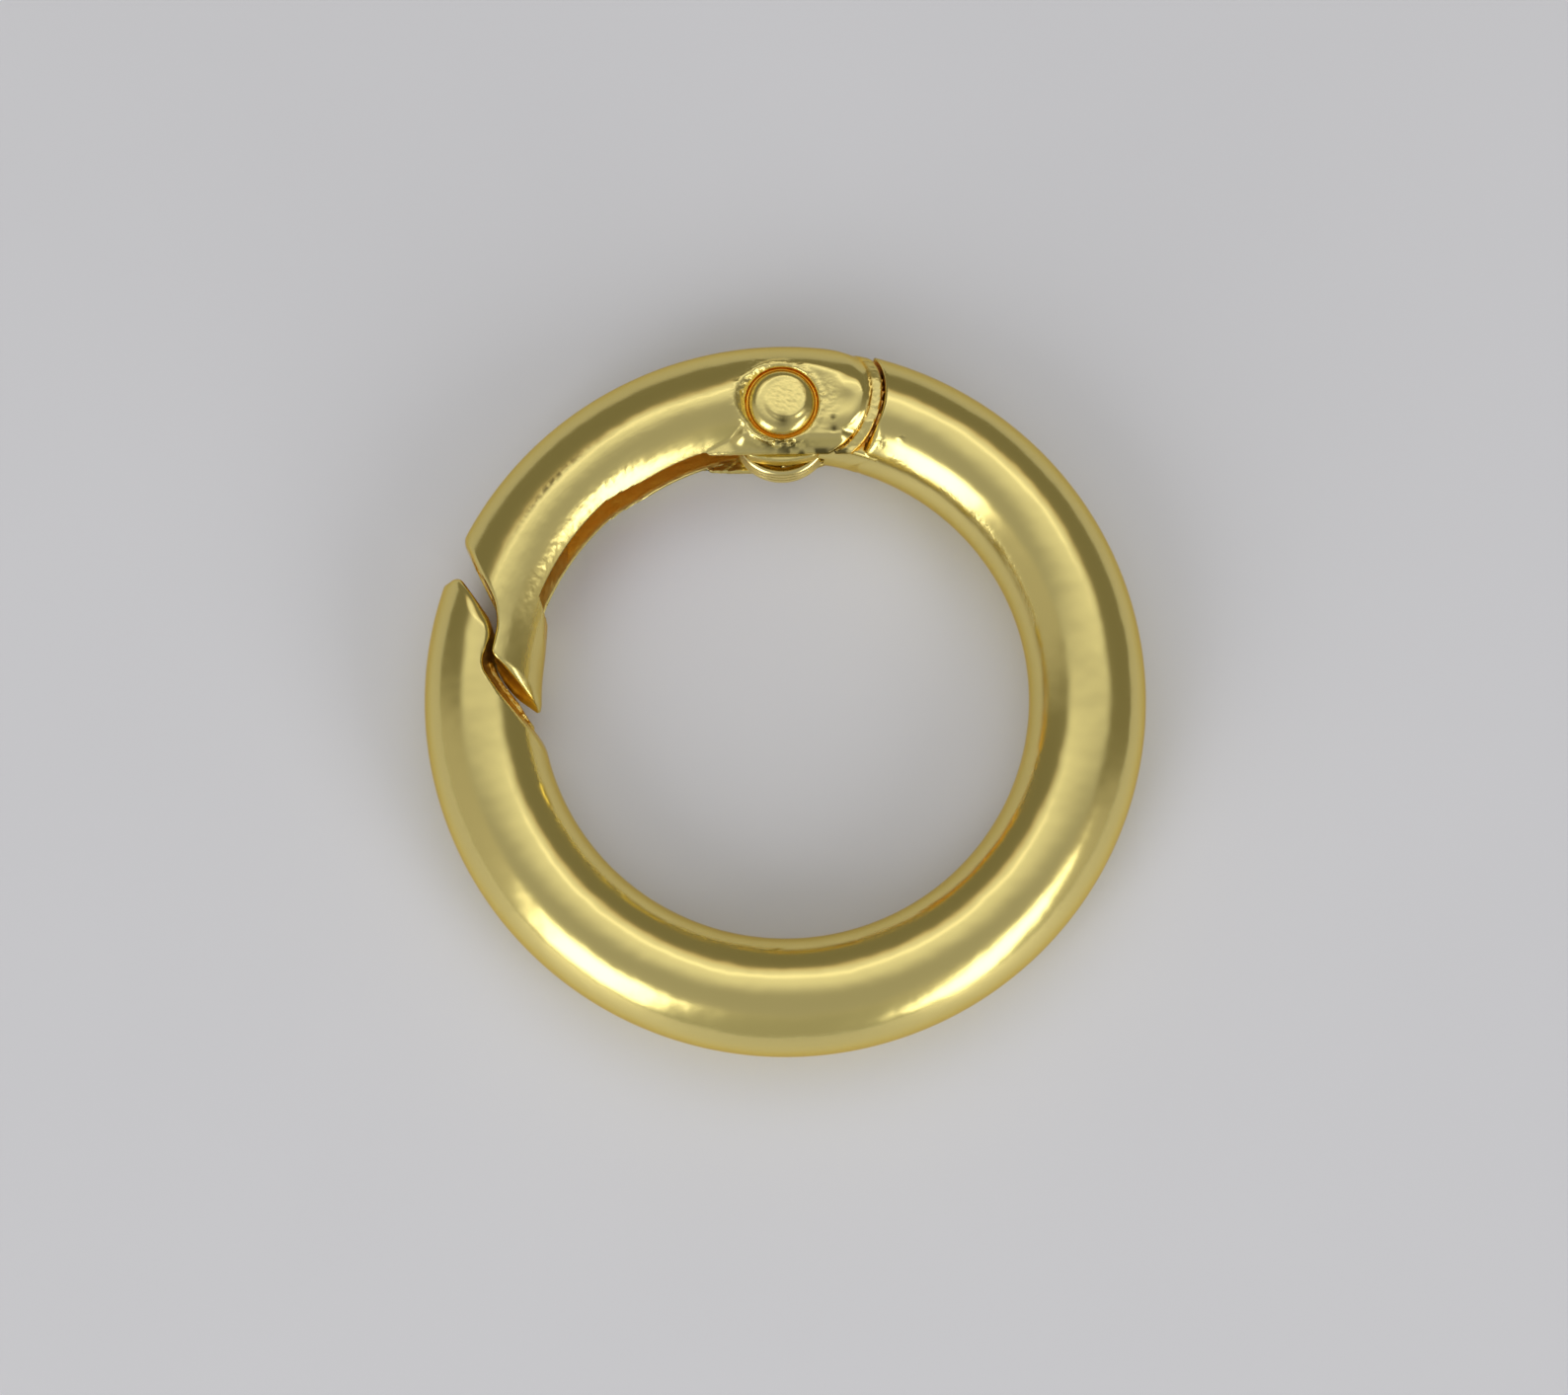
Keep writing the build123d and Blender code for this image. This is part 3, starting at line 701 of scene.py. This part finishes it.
def ring_quads(rows, count):
    """Quads between neighbouring rows of a closed ring grid."""
    row, column = np.meshgrid(np.arange(rows - 1), np.arange(count), indexing="ij")
    after = (column + 1) % count
    corners = (row * count + column, row * count + after, (row + 1) * count + after)
    return np.stack([*corners, (row + 1) * count + column], axis=-1).reshape(-1, 4)


def close_ends(obj):
    """Merge the rings that have shrunk to a point at each end of a surface."""
    grid = bmesh.new()
    grid.from_mesh(obj.data)
    bmesh.ops.remove_doubles(grid, verts=grid.verts, dist=1e-8)
    bmesh.ops.dissolve_degenerate(grid, dist=1e-9, edges=grid.edges)
    bmesh.ops.recalc_face_normals(grid, faces=grid.faces)
    grid.to_mesh(obj.data)
    grid.free()
    obj.data.shade_smooth()


def rounded_line(corners, radii, steps=8):
    """Open profile through corners, each inner one turned by an arc of its radius.

    The arc is the quadratic curve between the two points at its radius from the corner.
    """
    points = [np.array(corners[0], dtype=float)]
    t = np.linspace(0, 1, steps)[:, None]
    for before, corner, after, radius in zip(corners, corners[1:], corners[2:], radii):
        before, corner, after = (np.array(p, dtype=float) for p in (before, corner, after))
        start = corner + (before - corner) * radius / np.linalg.norm(before - corner)
        end = corner + (after - corner) * radius / np.linalg.norm(after - corner)
        points.extend((1 - t) ** 2 * start + 2 * t * (1 - t) * corner + t**2 * end)
    points.append(np.array(corners[-1], dtype=float))
    return np.array(points)


def rivet_relief(x, y, z):
    """What the press left on the heads: a disc off centre, a little tilted and dented, and a low burr."""
    off = np.hypot(x - PRESSED_CENTRE[0], y - PRESSED_CENTRE[1])
    dents = grain(x + 0.3 * y, 1.1 * y, 0 * z, size=0.3, seed=11) * ramp(-off, -0.8, -0.4)
    relief = ramp(-off, -1.0, -0.75) * (0.005 * dents - 0.075 * (y - 0.4))
    relief = relief - 0.02 * round_spot(x, y, LOW_BURR, 0.2)
    return np.sign(z) * relief * (np.abs(z) > 2) * ramp(-np.hypot(x, y), -1.36, -1.15)


def make_rivet():
    """Rivet: shank and two heads, each a level disc that falls away ever more steeply to its edge.

    The slope's angle grows as the square of the way from the disc's edge; its tangent is summed up.
    """
    across = np.linspace(0, 1, 60)[:, None] * (HEAD_RADIUS - HEAD_ROUND)
    slope_run = HEAD_RADIUS - HEAD_ROUND - FLAT_RADIUS
    tilt = HEAD_TILT * (np.maximum(across - FLAT_RADIUS, 0) / slope_run) ** 2
    fall = np.cumsum(np.tan(tilt), axis=0) * across[1]
    crown = np.hstack([across, HEAD_TOP - fall])
    edge_height = crown[-1, 1] - 0.05
    side = rounded_line(
        (
            crown[-1],
            (HEAD_RADIUS, edge_height),
            (HEAD_RADIUS, RECESS_FLOOR),
            (SHANK_RADIUS, RECESS_FLOOR),
            (SHANK_RADIUS, 0),
        ),
        (HEAD_ROUND, HEAD_ROUND, HEAD_ROUND),
    )
    upper = np.vstack([crown, side[1:]])
    profile = np.vstack([upper, upper[-2::-1] * (1, -1)])
    obj = turned("rivet_pin", profile, HUB, 160, rivet_relief)
    x, y, z = np.array([v.co for v in obj.data.vertices]).T / MM
    x, y = x - HUB[0], y - HUB[1]
    on_heads = np.abs(z) > 2
    off = np.hypot(x - PRESSED_CENTRE[0], y - PRESSED_CENTRE[1])
    paint(
        obj,
        cast=(0.25 + 0.35 * ramp(-off, -0.95, -0.7)) * on_heads,
        # painted shade: warmer, darker gold on the shank and under the heads
        deep=ramp(-np.abs(z), -2.0, -1.9),
        stain=0.9 * round_spot(x, y, LOW_BURR, 0.25) * on_heads,
        brushed=0,
    )
    return obj


def spring_line():
    """Spring's centreline in the hinge's frame: leg, coil and leg.

    The coil is a circle that climbs evenly; each leg leaves it along its tangent and stays level.
    """
    turn = COIL_START + np.linspace(0, 2 * math.pi * COIL_TURNS, 400)
    low = -CHANNEL_HALF_WIDTH + COIL_FLOOR_GAP + WIRE_RADIUS
    climb = low + COIL_PITCH * (turn - COIL_START) / (2 * math.pi)
    loop = [COIL_RADIUS * np.cos(turn), COIL_RADIUS * np.sin(turn) - COIL_INSET, climb]
    loop = np.stack(loop, axis=1)
    body_way = np.array([math.sin(turn[0]), -math.cos(turn[0]), 0])
    gate_way = np.array([-math.sin(turn[-1]), math.cos(turn[-1]), 0])
    body_leg = loop[0] + np.linspace(BODY_LEG, LEG_BEND, 30)[:, None] * body_way - (0, 0, LEG_STEP)
    gate_leg = loop[-1] + np.linspace(LEG_BEND, GATE_LEG, 40)[:, None] * gate_way + (0, 0, LEG_STEP)
    return np.vstack([body_leg, loop, gate_leg])


def make_spring():
    """Spring wire: a round section carried along its centreline, turned and moved to the hinge.

    The section's frame is the wire's direction, the level across it and their cross product. Both
    cut ends are closed by rings that shrink to the centreline.
    """
    x, y, z = spring_line().T
    cosine, sine = math.cos(HINGE_ANGLE - math.pi / 2), math.sin(HINGE_ANGLE - math.pi / 2)
    line = np.stack([x * cosine - y * sine, x * sine + y * cosine, z], axis=1)
    line += (*HUB, 0)
    way = np.gradient(line, axis=0)
    way /= np.linalg.norm(way, axis=1, keepdims=True)
    level = np.cross((0, 0, 1), way)
    level /= np.linalg.norm(level, axis=1, keepdims=True)
    rise = np.cross(way, level)
    around = np.linspace(0, 2 * math.pi, WIRE_SIDES, endpoint=False)[None, :, None]
    section = WIRE_RADIUS * (level[:, None] * np.cos(around) + rise[:, None] * np.sin(around))
    first, last = (np.repeat(line[e : e + 1, None], WIRE_SIDES, axis=1) for e in (0, len(line) - 1))
    rings = np.concatenate([first, line[:, None] + section, last])
    obj = smooth_mesh("spring_wire", rings.reshape(-1, 3), ring_quads(len(rings), WIRE_SIDES))
    close_ends(obj)
    paint(obj, cast=0, deep=0, brushed=0, stain=0)
    return obj


# ---------------------------------------------------------------- materials
def node(tree, kind, **inputs):
    """Add a shader node; inputs are given by name, as values or as sockets to link from."""
    made = tree.nodes.new(kind)
    for name, value in inputs.items():
        socket = made.inputs[int(name[1:])] if name[1:].isdigit() else made.inputs[name.replace("_", " ")]
        if isinstance(value, bpy.types.NodeSocket):
            tree.links.new(value, socket)
        else:
            socket.default_value = value
    return made


def maths(tree, operation, *values):
    """Result of a named operation on sockets or numbers."""
    made = node(tree, "ShaderNodeMath", **{f"i{n}": value for n, value in enumerate(values)})
    made.operation = operation
    return made.outputs[0]


def mix(tree, factor, a, b):
    """Colour between a and b: a + factor (b - a)."""
    made = tree.nodes.new("ShaderNodeMix")
    made.data_type = "RGBA"
    for socket, value in ((made.inputs[0], factor), (made.inputs[6], a), (made.inputs[7], b)):
        if isinstance(value, bpy.types.NodeSocket):
            tree.links.new(value, socket)
        else:
            socket.default_value = value
    return made.outputs[2]


def attribute(tree, name):
    """Number that was painted on the mesh under this name."""
    made = tree.nodes.new("ShaderNodeAttribute")
    made.attribute_name = name
    return made.outputs["Fac"]


def noise(tree, place, scale, detail):
    """Noise about one half; its marks are about 1/scale metres wide."""
    made = node(tree, "ShaderNodeTexNoise", Vector=place, Scale=scale, Detail=detail)
    return made.outputs["Fac"]


def relief(tree, height, depth, **before):
    """Normal tilted by the slope of height times depth, in metres."""
    made = node(tree, "ShaderNodeBump", Strength=1.0, Distance=depth, Height=height, **before)
    return made.outputs["Normal"]


def along_ring(tree, place):
    """Place as arc on a small radius, radius and height, so that noise is drawn out along the ring."""
    spot = node(tree, "ShaderNodeSeparateXYZ", Vector=place).outputs
    turn = maths(tree, "ARCTAN2", spot[1], spot[0])
    flat = node(tree, "ShaderNodeCombineXYZ", X=spot[0], Y=spot[1]).outputs[0]
    radius = node(tree, "ShaderNodeVectorMath", Vector=flat)
    radius.operation = "LENGTH"
    arc = maths(tree, "MULTIPLY", turn, STREAK_RADIUS)
    made = node(tree, "ShaderNodeCombineXYZ", X=arc, Y=radius.outputs["Value"], Z=spot[2])
    return made.outputs[0]


def gold_plating(name, colour):
    """Bright gold plating: polished where it was tumbled, matt and grainy where it was only cast.

    Colour goes from the plating's to warmer, darker gold where shade is painted into cracks, and to dark
    tarnish where real stains and painted shade lie, by the painted layers. The roughness is the polish
    plus a share of each layer. Three reliefs lie over each other: low waves, brushed strokes along the
    ring and cast grit.
    """
    material = bpy.data.materials.new(name)
    material.use_nodes = True
    tree = material.node_tree
    tree.nodes.clear()
    place = node(tree, "ShaderNodeTexCoord").outputs["Object"]
    cast = attribute(tree, "cast")
    deep = attribute(tree, "deep")
    brushed = attribute(tree, "brushed")
    smudge = noise(tree, place, scale=160.0, detail=4.0)

    tint = mix(tree, smudge, colour, tuple(c * 0.93 for c in colour[:3]) + (1.0,))
    # painted shade: cracks turn warmer and darker gold; hollows, creases and pits turn dark, as do real
    # stains
    tint = mix(tree, deep, tint, CRACK_SHADE_GOLD)
    tint = mix(tree, attribute(tree, "stain"), tint, TARNISH_AND_SHADE)
    rough = maths(tree, "MULTIPLY_ADD", smudge, 0.05, POLISH)
    for layer, share in ((cast, 0.12), (deep, 0.12), (brushed, 0.05)):
        rough = maths(tree, "MULTIPLY_ADD", layer, share, rough)

    drawn_out = noise(tree, along_ring(tree, place), scale=1900.0, detail=3.0)
    strokes = maths(tree, "ADD", noise(tree, place, scale=1000.0, detail=2.0), drawn_out)
    strokes = maths(tree, "MULTIPLY", strokes, brushed)
    grit = maths(tree, "MULTIPLY", noise(tree, place, scale=5200.0, detail=3.0), cast)
    normal = relief(tree, noise(tree, place, scale=420.0, detail=2.0), depth=0.00005)
    normal = relief(tree, strokes, depth=0.000016, Normal=normal)
    normal = relief(tree, grit, depth=0.00003, Normal=normal)

    shader = node(tree, "ShaderNodeBsdfPrincipled", Base_Color=tint, Roughness=rough, Normal=normal)
    shader.inputs["Metallic"].default_value = 1.0
    shader.inputs["Specular Tint"].default_value = GRAZING_GOLD
    node(tree, "ShaderNodeOutputMaterial", Surface=shader.outputs["BSDF"])
    return material


def table_paper():
    """Pale matt table, faintly mottled between two colours by a wide noise."""
    material = bpy.data.materials.new("table_paper")
    material.use_nodes = True
    tree = material.node_tree
    shader = tree.nodes["Principled BSDF"]
    place = node(tree, "ShaderNodeTexCoord").outputs["Object"]
    mottle = noise(tree, place, scale=60.0, detail=3.0)
    tree.links.new(mix(tree, mottle, PAPER_DARK, PAPER_PALE), shader.inputs["Base Color"])
    shader.inputs["Roughness"].default_value = 0.45
    shader.inputs["Specular IOR Level"].default_value = 0.4
    return material


# ---------------------------------------------------------------- light
def smooth(tree, value, low, high, start=0.0, end=1.0):
    """Smooth step of a socket from start at low to end at high."""
    ends = {"From_Min": low, "From_Max": high, "To_Min": start, "To_Max": end}
    made = node(tree, "ShaderNodeMapRange", Value=value, **ends)
    made.interpolation_type = "SMOOTHSTEP"
    return made.outputs[0]


def lamp(name, azimuth, elevation, width, height, roll=0):
    """Soft panel that faces the ring: angles in degrees, sizes as angles seen from the ring.

    Its light fades from the middle to its edges, as cloth in front of a bulb does.
    """
    data = bpy.data.lights.new(name, "AREA")
    data.shape = "RECTANGLE"
    data.size = 2 * LAMP_DISTANCE * math.tan(math.radians(width) / 2)
    data.size_y = 2 * LAMP_DISTANCE * math.tan(math.radians(height) / 2)
    data.energy = LAMP_RADIANCE * math.pi * data.size * data.size_y
    data.use_nodes = True
    tree = data.node_tree
    face = node(tree, "ShaderNodeNewGeometry").outputs["Parametric"]
    fade = 1.0
    for side in node(tree, "ShaderNodeSeparateXYZ", Vector=face).outputs[:2]:
        off_middle = maths(tree, "ABSOLUTE", maths(tree, "SUBTRACT", side, 0.5))
        fade = maths(tree, "MULTIPLY", fade, smooth(tree, off_middle, LAMP_EDGE, LAMP_MIDDLE))
    tree.links.new(fade, tree.nodes["Emission"].inputs["Strength"])
    obj = bpy.data.objects.new(name, data)
    turn, rise = math.radians(azimuth), math.radians(elevation)
    way = (math.cos(turn) * math.cos(rise), math.sin(turn) * math.cos(rise), math.sin(rise))
    obj.location = Vector(way) * LAMP_DISTANCE
    facing = (-obj.location).to_track_quat("-Z", "Y")
    obj.rotation_euler = (facing @ Quaternion((0, 0, 1), math.radians(roll))).to_euler()
    obj.visible_camera = False
    bpy.context.scene.collection.objects.link(obj)


def facing_towards(tree, azimuth, degrees):
    """Cosine of the angle between a direction's azimuth and the given one."""
    return maths(tree, "COSINE", maths(tree, "SUBTRACT", azimuth, math.radians(degrees)))


def studio():
    """Room light by direction: a ceiling that is paler towards the back, and a darker back wall.

    Smooth steps of the direction's parts blend the walls, the warm glow below the ceiling's edge, the
    ceiling and a bright strip at the back of it.
    """
    world = bpy.data.worlds.new("studio")
    bpy.context.scene.world = world
    world.use_nodes = True
    tree = world.node_tree
    tree.nodes.clear()
    way = node(tree, "ShaderNodeTexCoord").outputs["Generated"]
    x, y, z = node(tree, "ShaderNodeSeparateXYZ", Vector=way).outputs
    azimuth = maths(tree, "ARCTAN2", y, x)

    back = smooth(tree, y, 0.25, 0.62)
    low_edge = maths(tree, "MULTIPLY_ADD", back, -0.07, CEILING_EDGE)
    over_edge = maths(tree, "SUBTRACT", z, low_edge)
    strip = maths(tree, "MULTIPLY", smooth(tree, z, *STRIP_IN), smooth(tree, z, *STRIP_OUT))
    strip_share = smooth(tree, facing_towards(tree, azimuth, 90), 0.6, 0.8, 0.0, 0.6)
    strip = maths(tree, "MULTIPLY", strip, strip_share)
    grey = maths(tree, "ADD", smooth(tree, y, -0.12, 0.4, 0.4, 0.88), strip)
    ceiling = node(tree, "ShaderNodeCombineColor", Red=grey, Green=grey, Blue=grey).outputs[0]

    to_back = smooth(tree, facing_towards(tree, azimuth, 82), -0.12, 0.2)
    walls = mix(tree, to_back, SIDE_WALL, BACK_WALL)
    walls = mix(tree, smooth(tree, y, -0.45, -0.85), walls, FRONT_WALL)
    glow = maths(tree, "MULTIPLY", smooth(tree, over_edge, -0.09, 0.0), back)
    walls = mix(tree, glow, walls, CEILING_GLOW)
    colour = mix(tree, smooth(tree, over_edge, -0.09, 0.085), walls, ceiling)
    shine = node(tree, "ShaderNodeBackground", Color=colour, Strength=1.0)
    node(tree, "ShaderNodeOutputWorld", Surface=shine.outputs[0])


def set_camera():
    """Camera nearly straight above the ring, tilted so that it stands a little to the front."""
    data = bpy.data.cameras.new("camera")
    data.sensor_width = SENSOR_WIDTH
    data.lens = CAMERA_LENS
    data.clip_start, data.clip_end = 0.005, 10
    data.shift_x, data.shift_y = CAMERA_SHIFT
    camera = bpy.data.objects.new("camera", data)
    back, up = CAMERA_DISTANCE * math.sin(CAMERA_TILT), CAMERA_DISTANCE * math.cos(CAMERA_TILT)
    camera.location = (0, -back, up)
    camera.rotation_euler = (CAMERA_TILT, 0, 0)
    bpy.context.scene.collection.objects.link(camera)
    bpy.context.scene.camera = camera


# ---------------------------------------------------------------- the dressed part
gate_piece = make_gate()
body_piece = make_body()
rivet_piece = make_rivet()
spring_piece = make_spring()

plating = gold_plating("bright_gold", GOLD)
for obj, body, covered in (
    (body_piece, "ring_body", "ring_body"),
    (gate_piece, "gate", "gate"),
    (rivet_piece, "gate", "pivot_rivet"),
):
    obj.data.materials.append(plating)
    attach(obj, body)
    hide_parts(covered)
spring_piece.data.materials.append(gold_plating("spring_gold", WIRE_GOLD))
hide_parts("torsion_spring")
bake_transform(spring_piece)

# ---------------------------------------------------------------- table, lamps, room and camera
low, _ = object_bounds()
corners = np.array([[-1, -1, 0], [1, -1, 0], [1, 1, 0], [-1, 1, 0]])
corners = corners * TABLE_HALF_SIDE + (0, 0, low.z / MM)
table = smooth_mesh("table", corners, np.array([[0, 1, 2, 3]]))
table.data.materials.append(table_paper())

lamp("softbox_left", azimuth=-131, elevation=26, width=36, height=52)
lamp("softbox_right", azimuth=-45, elevation=24, width=29, height=58, roll=-42)
studio()
set_camera()
bpy.context.scene.view_settings.view_transform = "Standard"
